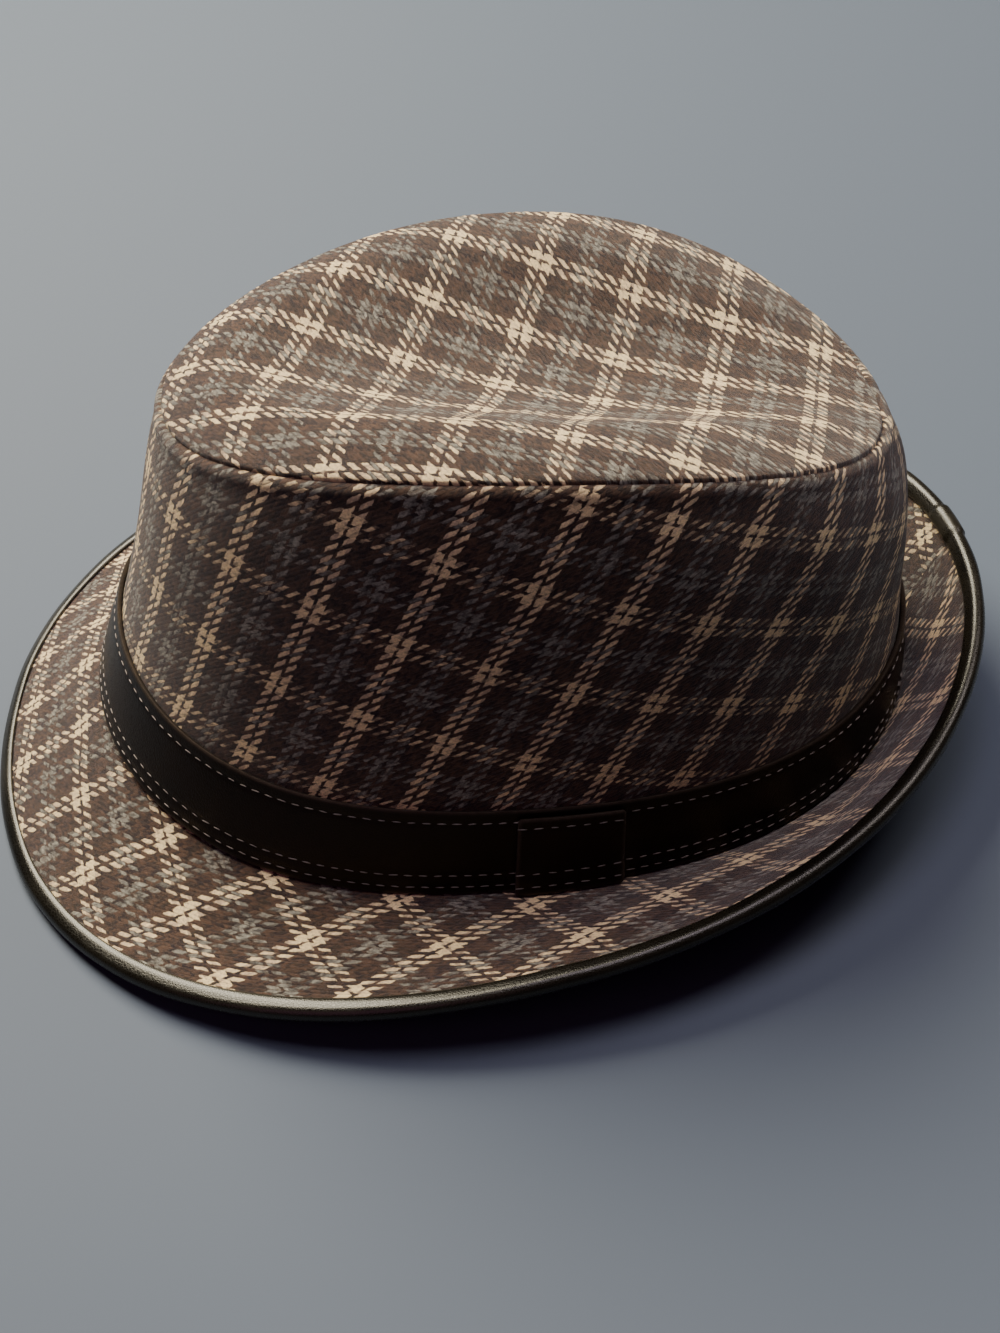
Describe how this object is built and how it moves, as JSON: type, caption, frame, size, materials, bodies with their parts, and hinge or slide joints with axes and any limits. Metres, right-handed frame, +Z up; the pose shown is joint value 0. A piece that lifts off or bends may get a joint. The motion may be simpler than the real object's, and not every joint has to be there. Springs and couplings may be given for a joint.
{
  "type": "trilby hat",
  "caption": "Checked wool trilby: dented crown with a separate tip, leather hat band with a lapped end, and a narrow leather-bound brim down in front and up behind.",
  "frame": {"origin": "centre of the bounding box at floor level, the hat standing by itself", "axes": "+Z up, front of the hat towards -Y, back towards +Y, the wearer's left towards +X"},
  "size_m": [0.2436, 0.2552, 0.1077],
  "materials": {
    "checked_wool": "brown, cream and blue-grey checked wool twill",
    "brown_leather": "glossy very dark brown leather"
  },
  "bodies": {
    "root": {"crown_tip": "checked_wool", "crown_side": "checked_wool", "brim": "checked_wool", "brim_binding": "brown_leather", "hat_band": "brown_leather", "band_tab": "brown_leather"}
  },
  "joints": []
}
